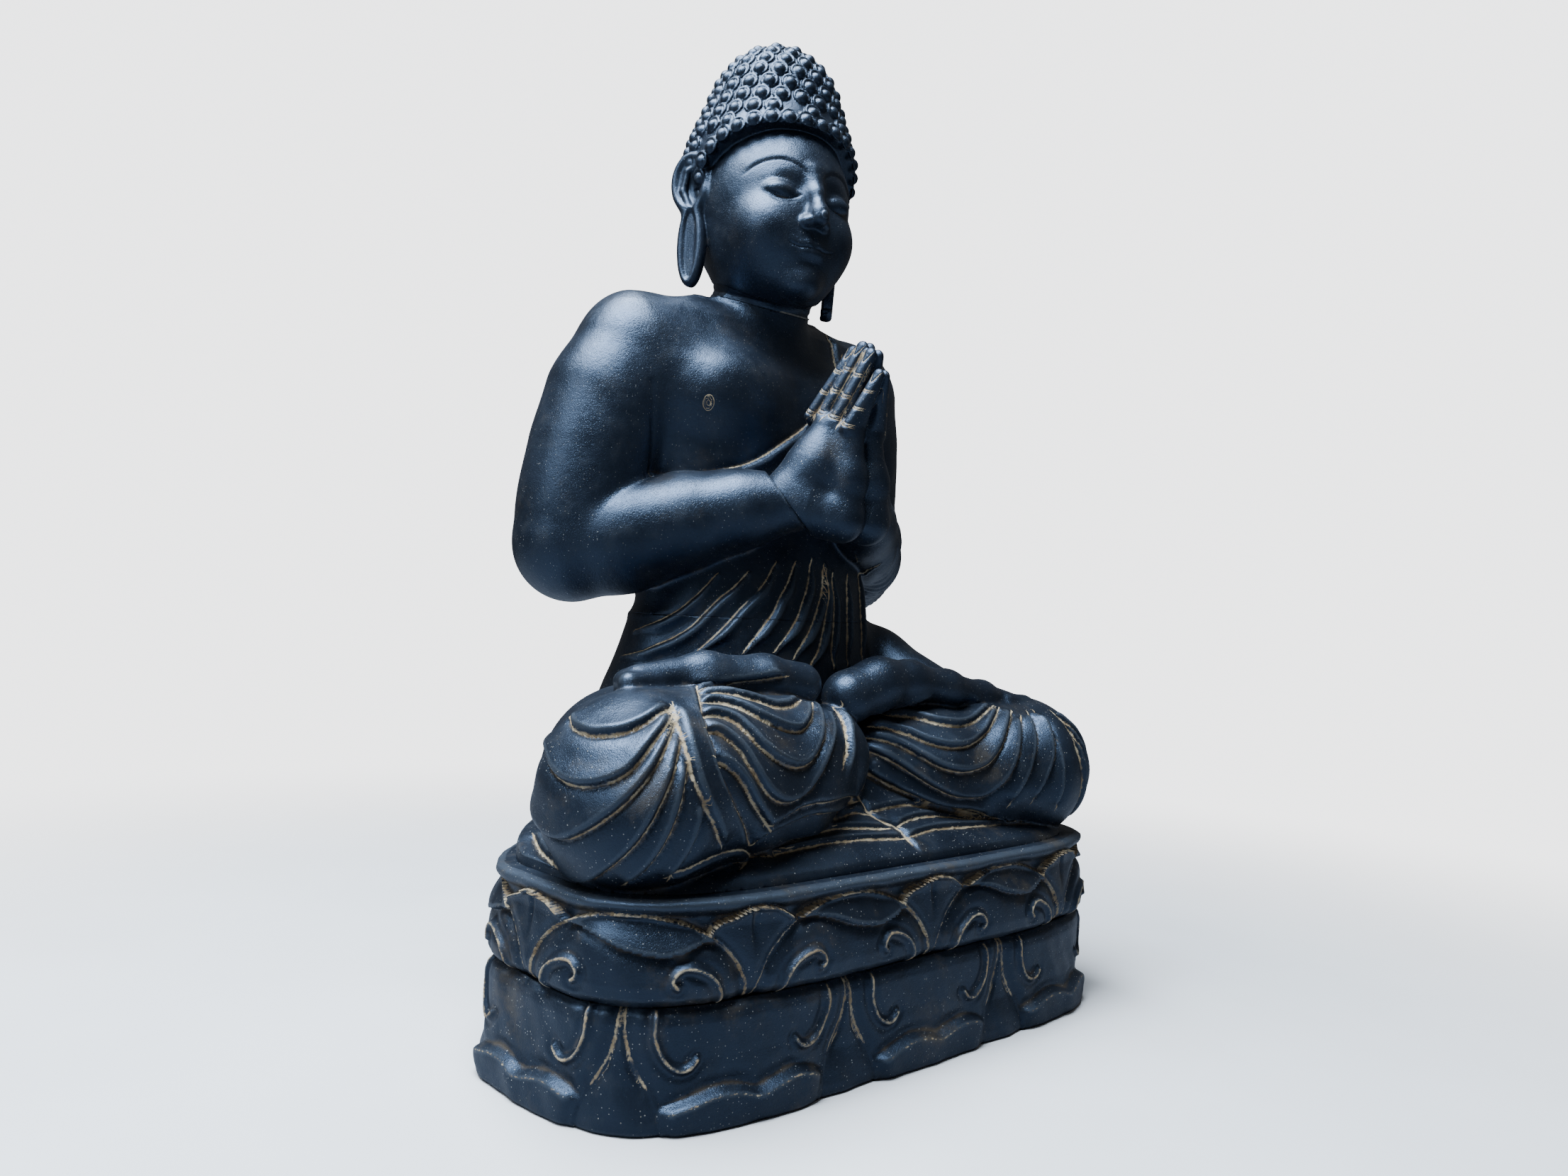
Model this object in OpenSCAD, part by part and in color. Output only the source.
// Seated buddha with joined hands on a double lotus base.
// Dark carved stone in six blocks, bedded in thin mortar and pinned with steel dowels in resin.
// X is the statue's left, the front faces -Y, +Z is up, and the flat underside is at Z = 0.

/* [Lotus base] */
// Half width of the base plan
base_half_w = 384; // [300:1:450]
// Half depth of the base plan
base_half_d = 216; // [160:1:300]
// Squareness of the front edge
front_n = 4.4; // [2:0.1:6]
// Squareness of the rear edge
rear_n = 1.6; // [1.5:0.1:4]
// Height of the lower tier
lower_h = 112; // [80:1:160]
// Height of the upper tier
upper_h = 97; // [60:1:140]
// Petals round each tier
petals = 8; // [6:1:16]
// How far a petal swells past the groove
petal_swell = 7; // [2:0.5:14]

/* [Figure] */
// Distance of the body's middle behind the middle of the base
body_y = 100; // [60:1:120]
// Height of the bed joint across the belly
belly_z = 470; // [440:1:500]
// Height of the joint at the foot of the neck
neck_z = 872; // [862:1:880]
// Forward tilt of the neck joint, in degrees
neck_tilt = 18; // [0:1:25]
// Height of the crown
crown_z = 1216; // [1180:1:1240]
// Turn of the head towards the statue's right, in degrees
head_turn = 12; // [0:1:20]
// Tilt of the head towards the statue's left, in degrees
head_tilt = 3; // [0:1:8]
// Sideways shift of the head
head_x = -5; // [-20:1:20]
// Breadth of the head against a plain figure's
head_broad = 1.15; // [1:0.01:1.2]
// Length of the head against a plain figure's
head_long = 1.06; // [1:0.01:1.1]
// Width across the knees
knee_span = 784; // [740:2:800]
// Radius of a hair curl
curl_r = 11; // [9:0.5:13]

/* [Joints] */
// Thickness of a mortar bed
bed_t = 2; // [1:0.5:5]
// Recess of a bed behind the stone's edge
bed_recess = 6; // [2:1:20]
// Diameter of the dowels between the large blocks
dowel_d = 20; // [12:1:30]
// Diameter of the wrist dowels
wrist_dowel_d = 10; // [6:1:14]
// Thickness of the resin round a dowel
resin_t = 3; // [2:0.5:5]
// Depth of a large dowel in each block
dowel_reach = 60; // [40:1:75]
// Depth of a wrist dowel in each block
wrist_reach = 32; // [20:1:40]

/* [Hidden] */

stone_c = [0.16, 0.19, 0.24];
mortar_c = [0.42, 0.40, 0.36];
steel_c = [0.72, 0.73, 0.75];
resin_c = [0.62, 0.55, 0.40];

socket_d = dowel_d + 2 * resin_t;
wrist_socket_d = wrist_dowel_d + 2 * resin_t;
tier_z = lower_h;
rim_z = lower_h + bed_t + upper_h;
lap_z = rim_z + bed_t;
around = 96;
knee_r = 92;
knee_x = knee_span / 2 - knee_r;
neck_r = 66;
hem_inset = 18;

// middle of the first petal on each tier, along the edge
lower_first = 13;
upper_first = -113;

// [x, y] of the upright dowels
tier_pins = [[-230, -90], [230, -90], [-170, 90], [170, 90]];
lap_pins = [[-220, -70], [220, -70], [-110, 110], [110, 110]];
torso_pins = [[-75, body_y], [75, body_y]];

// middle of the right wrist joint and the direction of its dowel; the left one mirrors it
wrist_c = [-60, -30, 610];
wrist_dir = [0.55, -0.55, 0.63];

function sgn(v) = v < 0 ? -1 : 1;
function spow(v, e) = sgn(v) * pow(abs(v), e);
function unit(v) = v / norm(v);

// point of the base plan at angle t
function base_pt(t) =
  let (n = sin(t) < 0 ? front_n : rear_n)
  [base_half_w * spow(cos(t), 2 / n), base_half_d * spow(sin(t), 2 / n)];

// edge of the plan by the way along it, from the middle of the front to the statue's left
edge_steps = 240;
edge = [for (i = [0:edge_steps]) base_pt(360 * i / edge_steps - 90)];
edge_way = [
  for (i = 0, w = 0; i <= edge_steps;
       i = i + 1, w = i > edge_steps ? w : w + norm(edge[i] - edge[i - 1])) w
];
edge_x = [for (i = [0:edge_steps]) [edge_way[i], edge[i][0]]];
edge_y = [for (i = [0:edge_steps]) [edge_way[i], edge[i][1]]];
edge_run = edge_way[edge_steps];
function wrap(w) = w < 0 ? w + edge_run : w > edge_run ? w - edge_run : w;
function edge_pt(w) = [lookup(wrap(w), edge_x), lookup(wrap(w), edge_y)];
function edge_out(w) = let (d = unit(edge_pt(w + 6) - edge_pt(w - 6))) [d[1], -d[0]];

// upright prism on the base plan, its edge moved in by inset
module plan_prism(inset, z0, z1) {
  loft([
    for (z = [z0, z1]) [
      for (i = [0:around - 1])
        let (w = edge_run * i / around, p = edge_pt(w) - inset * edge_out(w)) [p[0], p[1], z]
    ]
  ]);
}

// swell of the petals along the edge: rounded lobes with a notch between neighbours
function lobe(w) = pow(abs(cos(180 * petals * w / edge_run)), 0.6);

// rings of a tier: each level is [z, grow at the notches, share of the petal swell]
function tier_rings(levels, first) = [
  for (l = levels) [
    for (i = [0:around - 1])
      let (w = edge_run * i / around,
           p = edge_pt(w) + (l[1] + l[2] * petal_swell * lobe(w - first)) * edge_out(w))
      [p[0], p[1], l[0]]
  ]
];

// closed loft through rings of equal length, with a middle point on each end cap
function ring_mid(r) = [for (k = [0:2]) [for (p = r) p[k]] * [for (p = r) 1 / len(r)]];
module loft(rings) {
  n = len(rings[0]);
  m = len(rings);
  pts = concat([for (r = rings, p = r) p], [ring_mid(rings[0]), ring_mid(rings[m - 1])]);
  side = [
    for (j = [0:m - 2], i = [0:n - 1], h = [0, 1])
      let (a = j * n + i, b = j * n + (i + 1) % n)
      h == 0 ? [a, b + n, b] : [a, a + n, b + n]
  ];
  low = [for (i = [0:n - 1]) [n * m, i, (i + 1) % n]];
  high = [for (i = [0:n - 1]) [n * m + 1, (m - 1) * n + (i + 1) % n, (m - 1) * n + i]];
  polyhedron(pts, concat(side, low, high));
}

// upright body through sections [z, half width, front reach, back reach, middle y, squareness]
module body(sections, n) {
  loft([
    for (s = sections) [
      for (i = [0:n - 1])
        let (t = 360 * i / n)
        [s[1] * spow(cos(t), 2 / s[5]),
         s[4] + (sin(t) < 0 ? s[2] : s[3]) * spow(sin(t), 2 / s[5]),
         s[0]]
    ]
  ]);
}

// rounded bone between two balls, each [x, y, z, radius]
module bone(a, b, n) {
  p = [a[0], a[1], a[2]];
  q = [b[0], b[1], b[2]];
  w = unit(q - p);
  u = unit(cross(w, abs(w[2]) > 0.8 ? [1, 0, 0] : [0, 0, 1]));
  v = cross(w, u);
  turns = [-78, -55, -30, 0];
  ends = [for (i = [3:-1:0]) -turns[i]];
  low = [for (t = turns) [p + w * a[3] * sin(t), a[3] * cos(t)]];
  high = [for (t = ends) [q + w * b[3] * sin(t), b[3] * cos(t)]];
  loft([
    for (s = concat(low, high))
      [for (i = [0:n - 1]) s[0] + s[1] * (u * cos(360 * i / n) + v * sin(360 * i / n))]
  ]);
}
module limb(balls, n = 20) {
  for (i = [0:len(balls) - 2])
    bone(balls[i], balls[i + 1], n);
}

module ball(p, r, facets = 20) {
  translate(p)
    sphere(r, $fn = facets);
}

module egg(p, r, facets = 26) {
  translate(p)
    scale(r)
      sphere(1, $fn = facets);
}

// one solid block of stone, its lumps and limbs merged
module carved() {
  resize([0, 0, 0])
    union() {
      children();
    }
}

module slab(z0, z1) {
  translate([-600, -600, z0])
    cube([1200, 1200, z1 - z0]);
}

// upright pins at a list of places, from z0 to z1
module pins(places, d, z0, z1) {
  for (p = places)
    translate([p[0], p[1], z0])
      cylinder(h = z1 - z0, d = d, $fn = 48);
}
module sleeve_tube(d_in, d_out, z0, z1) {
  difference() {
    translate([0, 0, z0])
      cylinder(h = z1 - z0, d = d_out, $fn = 48);
    translate([0, 0, z0 - 1])
      cylinder(h = z1 - z0 + 2, d = d_in, $fn = 48);
  }
}
module sleeves(places, d_in, d_out, z0, z1) {
  for (p = places)
    translate([p[0], p[1], 0])
      sleeve_tube(d_in, d_out, z0, z1);
}

// local frames of the tilted joints, Z along the dowel
module at_neck() {
  translate([0, body_y, neck_z])
    rotate([neck_tilt, 0, 0])
      children();
}
module at_wrist(s) {
  d = [-s * wrist_dir[0], wrist_dir[1], wrist_dir[2]];
  translate([-s * wrist_c[0], wrist_c[1], wrist_c[2]])
    rotate([0, acos(d[2] / norm(d)), atan2(d[1], d[0])])
      children();
}

// ---- base tiers ----

module lower_lotus_tier() {
  levels = [[0, 4, 0.2], [12, 6, 0.4], [26, 3, 0.8], [44, -1, 1], [86, -3, 1],
            [98, -4, 0.8], [106, -6, 0.4], [lower_h, -11, 0]];
  color(stone_c)
    difference() {
      loft(tier_rings(levels, lower_first));
      pins(tier_pins, socket_d, lower_h - dowel_reach, lower_h + 1);
    }
}

module upper_lotus_tier() {
  z0 = tier_z + bed_t;
  levels = [[z0, -10, 0], [z0 + 5, -6, 0.6], [z0 + 20, -1, 1], [z0 + 48, -4, 1],
            [z0 + 70, -6, 0.6], [z0 + 82, -5, 0], [z0 + 88, 2, 0], [z0 + 93, 3, 0],
            [rim_z, -1, 0]];
  color(stone_c)
    difference() {
      loft(tier_rings(levels, upper_first));
      pins(tier_pins, socket_d, z0 - 1, z0 + dowel_reach);
      pins(lap_pins, socket_d, rim_z - dowel_reach / 2, rim_z + 1);
    }
}

// ---- figure ----

module legs() {
  for (s = [-1, 1]) {
    limb([[s * knee_x, -105, 298, knee_r], [s * 210, -100, 308, 88], [s * 70, -95, 308, 64]]);
    limb([[s * knee_x, -105, 298, knee_r], [s * 232, -4, 292, 94], [s * 130, 95, 308, 92]]);
  }
  limb([[-130, 95, 308, 92], [130, 95, 308, 92]]);
}

// left foot on the right thigh, right foot on the left thigh
module feet() {
  limb([[-72, -86, 402, 26], [-160, -78, 408, 25], [-266, -66, 404, 18]]);
  limb([[-4, -94, 390, 31], [66, -100, 402, 26], [150, -106, 396, 21], [270, -106, 378, 14]]);
  for (i = [0:4])
    limb([[-256, -86 + 10 * i, 402, 10], [-308 + 4 * i, -88 + 11 * i, 404, 8]], 8);
  for (i = [0:4])
    limb([[260, -122 + 10 * i, 379, 10], [308 - 4 * i, -124 + 11 * i, 377, 8]], 8);
}

// robe spread between the knees and under the legs
module apron() {
  // each level is [z, way in from the rim, share of the plan]
  levels = [[lap_z - 4, hem_inset, 1], [lap_z + 9, hem_inset + 6, 1], [lap_z + 27, hem_inset + 8, 0.88],
            [lap_z + 53, hem_inset + 8, 0.67], [lap_z + 96, hem_inset + 8, 0.45]];
  loft([
    for (l = levels) [
      for (i = [0:2:around - 1])
        let (w = edge_run * i / around, p = l[2] * (edge_pt(w) - l[1] * edge_out(w)))
        [p[0], p[1], l[0]]
    ]
  ]);
}

// robe gathered round the waist, falling further on the left
module hips() {
  translate([12, 0, 0])
    body([[303, 236, 92, 104, 92, 2.3], [391, 212, 80, 100, 96, 2.3],
          [431, 188, 72, 95, body_y - 1, 2.3], [belly_z - 3, 161, 61, 89, body_y - 1, 2.3]], 40);
}

module belly() {
  body([[300, 172, 124, 98, body_y, 2.3], [420, 168, 124, 98, body_y, 2.3],
        [belly_z, 164, 116, 94, body_y, 2.3]], 48);
}

module lap_block() {
  color(stone_c)
    difference() {
      carved() {
        difference() {
          union() {
            legs();
            feet();
            apron();
            hips();
            belly();
          }
          slab(0, lap_z);
        }
      }
      pins(lap_pins, socket_d, lap_z - 1, lap_z + dowel_reach);
      pins(torso_pins, socket_d, belly_z - dowel_reach, belly_z + 1);
    }
}

module trunk() {
  body([[belly_z + bed_t, 163, 115, 94, body_y, 2.3], [540, 156, 102, 92, body_y, 2.3],
        [620, 166, 92, 94, body_y + 4, 2.4], [700, 182, 92, 94, body_y + 10, 2.5],
        [770, 186, 84, 92, body_y + 16, 2.5], [815, 178, 64, 84, body_y + 18, 2.4],
        [842, 168, 48, 70, body_y + 18, 2.2], [854, 134, 36, 62, body_y + 18, 2.1],
        [864, 88, 20, 50, body_y + 14, 2]], 48);
  // foot of the neck
  at_neck()
    translate([0, 0, -60])
      cylinder(h = 60, r1 = neck_r + 6, r2 = neck_r, $fn = 40);
}

module upper_arms() {
  limb([[-180, 133, 778, 77], [-220, 140, 660, 68], [-243, 143, 550, 65]]);
  limb([[178, 134, 777, 75], [211, 141, 660, 62], [230, 144, 548, 59]]);
}

module forearms() {
  limb([[-243, 143, 550, 65], [-152, 51, 580, 51], [-60, -30, 610, 38]]);
  limb([[230, 142, 548, 59], [150, 50, 581, 50], [60, -30, 610, 38]]);
}

// robe over the left arm, hanging below the elbow
module sleeve() {
  limb([[176, 134, 774, 77], [214, 145, 640, 66], [221, 146, 560, 66], [206, 152, 542, 64]]);
}

module torso_block() {
  color(stone_c)
    difference() {
      carved() {
        difference() {
          union() {
            trunk();
            upper_arms();
            sleeve();
          }
          slab(0, belly_z + bed_t);
          at_neck()
            cylinder(h = 100, r = neck_r + 4, $fn = 48);
        }
        difference() {
          forearms();
          for (s = [-1, 1])
            at_wrist(s)
              translate([-80, -80, -bed_t / 2])
                cube([160, 160, 160]);
        }
      }
      pins(torso_pins, socket_d, belly_z, belly_z + bed_t + dowel_reach);
      at_neck()
        translate([0, 0, -dowel_reach])
          cylinder(h = dowel_reach + 1, d = socket_d, $fn = 48);
      for (s = [-1, 1])
        at_wrist(s)
          translate([0, 0, -wrist_reach])
            cylinder(h = wrist_reach + 2, d = wrist_socket_d, $fn = 48);
    }
}

module palm_pair() {
  for (s = [-1, 1]) {
    // wrist, back of the hand, heel and thumb
    limb([[s * 60, -30, 610, 38], [s * 35, -53, 657, 31], [s * 25, -57, 691, 21.5]], 15);
    limb([[s * 43, -55, 601, 33], [s * 19, -79, 591, 24], [s * 17, -87, 689, 17]], 13);
    limb([[s * 24, -24, 642, 14], [s * 12.5, -22, 706, 9.7]], 9);
    for (i = [0:3])
      limb([[s * 21, -34.3 - 18 * i, 707 - 5 * i, 12.7], [s * 15.4, -60 - 14 * i, 757 - 7 * i, 10.9],
            [s * 8.6, -78.5 - 11 * i, 789 - 10 * i, 9.3]], 9);
  }
}

module joined_hands() {
  color(stone_c)
    difference() {
      carved() {
        difference() {
          palm_pair();
          for (s = [-1, 1])
            at_wrist(s)
              translate([-80, -80, -160 + bed_t / 2])
                cube([160, 160, 160]);
        }
      }
      for (s = [-1, 1])
        at_wrist(s)
          translate([0, 0, -2])
            cylinder(h = wrist_reach + 2, d = wrist_socket_d, $fn = 48);
    }
}

// rows of snail curls over the cap and the crown bump
module curl_rows(mid, r, lats, front_gap) {
  for (lat = lats)
    let (count = max(1, round(2 * PI * r[0] * cos(lat) / (curl_r * 2.05))))
      for (i = [0:count - 1])
        let (t = 360 * (i + (lat % 2) / 2) / count - 90)
          if (front_gap == 0 || lat > front_gap * abs(cos((t + 90) / 2)))
            translate(mid + [r[0] * cos(lat) * cos(t), r[1] * cos(lat) * sin(t), r[2] * sin(lat)])
              rotate([0, 90 - lat, t])
                cylinder(h = 2 * curl_r * 0.8, r1 = curl_r, r2 = curl_r * 0.45, center = true,
                         $fn = 6);
}

module ear(s) {
  limb([[s * 88, 98, 1046, 11], [s * 99, 120, 1048, 8], [s * 103, 126, 1020, 8],
        [s * 99, 118, 960, 9], [s * 97, 110, 900, 11]], 10);
  limb([[s * 84, 94, 1030, 10], [s * 87, 96, 960, 10], [s * 92, 102, 900, 11]], 10);
}

module face() {
  // jaw, cheeks and chin
  egg([0, 66, 948], [68, 76, 66], 28);
  egg([0, 22, 908], [24, 24, 20], 20);
  // nose and its wings
  limb([[0, -4, 1012, 7], [0, -19, 970, 10], [0, -18, 962, 10]], 12);
  for (s = [-1, 1]) {
    ball([s * 11, -8, 961], 8, 12);
    // brow arch, upper lid and lips
    limb([[s * 8, 2, 1024, 5], [s * 34, 6, 1034, 5], [s * 62, 30, 1020, 5]], 8);
    limb([[s * 18, 6, 1004, 6], [s * 36, 8, 1006, 8], [s * 54, 20, 1000, 5]], 10);
    limb([[0, -8, 941, 5], [s * 22, 2, 941, 4]], 8);
    limb([[0, -6, 933, 6], [s * 18, 2, 936, 4]], 8);
  }
}

module head_mass() {
  crown_h = crown_z - 1126;
  egg([0, 92, 1004], [84, 96, 112]);
  egg([0, 105, 1050], [94, 102, 86]);
  egg([0, 104, 1120], [66, 68, crown_h + 2], 22);
  face();
  for (s = [-1, 1])
    ear(s);
  curl_rows([0, 105, 1050], [94, 102, 86], [-36, -22, -8, 6, 20, 34, 48], 14);
  curl_rows([0, 104, 1120], [66, 68, crown_h - 2], [12, 28, 44, 60, 90], 0);
}

module head() {
  color(stone_c)
    difference() {
      carved() {
        translate([head_x, body_y + 3, 870])
          rotate([0, 0, -head_turn])
            rotate([0, head_tilt, 0])
              translate([0, 4, crown_z - 870])
                scale([head_broad, head_broad, head_long])
                  translate([0, -body_y - 4, -crown_z])
                    head_mass();
        at_neck()
          translate([0, 0, bed_t])
            cylinder(h = 90, r1 = neck_r, r2 = neck_r - 8, $fn = 40);
      }
      at_neck()
        translate([0, 0, bed_t - 1])
          cylinder(h = dowel_reach + 1, d = socket_d, $fn = 48);
    }
}

// ---- beds ----

module tier_bed() {
  color(mortar_c)
    difference() {
      plan_prism(11 + bed_recess, tier_z, tier_z + bed_t);
      pins(tier_pins, socket_d, tier_z - 1, tier_z + bed_t + 1);
    }
}

module lap_bed() {
  color(mortar_c)
    difference() {
      plan_prism(hem_inset + bed_recess, rim_z, lap_z);
      pins(lap_pins, socket_d, rim_z - 1, lap_z + 1);
    }
}

module torso_bed() {
  color(mortar_c)
    difference() {
      body([[belly_z, 157, 109, 88, body_y, 2.3],
            [belly_z + bed_t, 157, 109, 88, body_y, 2.3]], 64);
      pins(torso_pins, socket_d, belly_z - 1, belly_z + bed_t + 1);
    }
}

module neck_bed() {
  color(mortar_c)
    at_neck()
      difference() {
        cylinder(h = bed_t, r = neck_r - bed_recess, $fn = 48);
        translate([0, 0, -1])
          cylinder(h = bed_t + 2, d = socket_d, $fn = 48);
      }
}

module wrist_beds() {
  color(mortar_c)
    for (s = [-1, 1])
      at_wrist(s)
        difference() {
          translate([0, 0, -bed_t / 2])
            cylinder(h = bed_t, d = 62, $fn = 48);
          translate([0, 0, -bed_t])
            cylinder(h = 2 * bed_t, d = wrist_socket_d, $fn = 48);
        }
}

// ---- dowels and resin ----

module tier_dowels() {
  color(steel_c)
    pins(tier_pins, dowel_d, tier_z - dowel_reach, tier_z + bed_t + dowel_reach);
}

module tier_dowel_resin() {
  color(resin_c)
    sleeves(tier_pins, dowel_d, socket_d, tier_z - dowel_reach, tier_z + bed_t + dowel_reach);
}

module lap_dowels() {
  color(steel_c)
    pins(lap_pins, dowel_d, rim_z - dowel_reach / 2, lap_z + dowel_reach);
}

module lap_dowel_resin() {
  color(resin_c)
    sleeves(lap_pins, dowel_d, socket_d, rim_z - dowel_reach / 2, lap_z + dowel_reach);
}

module torso_dowels() {
  color(steel_c)
    pins(torso_pins, dowel_d, belly_z - dowel_reach, belly_z + bed_t + dowel_reach);
}

module torso_dowel_resin() {
  color(resin_c)
    sleeves(torso_pins, dowel_d, socket_d, belly_z - dowel_reach,
            belly_z + bed_t + dowel_reach);
}

module neck_dowel() {
  color(steel_c)
    at_neck()
      translate([0, 0, -dowel_reach])
        cylinder(h = 2 * dowel_reach + bed_t, d = dowel_d, $fn = 48);
}

module neck_dowel_resin() {
  color(resin_c)
    at_neck()
      sleeve_tube(dowel_d, socket_d, -dowel_reach, dowel_reach + bed_t);
}

module wrist_dowels() {
  color(steel_c)
    for (s = [-1, 1])
      at_wrist(s)
        translate([0, 0, -wrist_reach])
          cylinder(h = 2 * wrist_reach, d = wrist_dowel_d, $fn = 48);
}

module wrist_dowel_resin() {
  color(resin_c)
    for (s = [-1, 1])
      at_wrist(s)
        sleeve_tube(wrist_dowel_d, wrist_socket_d, -wrist_reach, wrist_reach);
}

lower_lotus_tier();
upper_lotus_tier();
lap_block();
torso_block();
joined_hands();
head();
tier_bed();
lap_bed();
torso_bed();
neck_bed();
wrist_beds();
tier_dowels();
lap_dowels();
torso_dowels();
neck_dowel();
wrist_dowels();
tier_dowel_resin();
lap_dowel_resin();
torso_dowel_resin();
neck_dowel_resin();
wrist_dowel_resin();
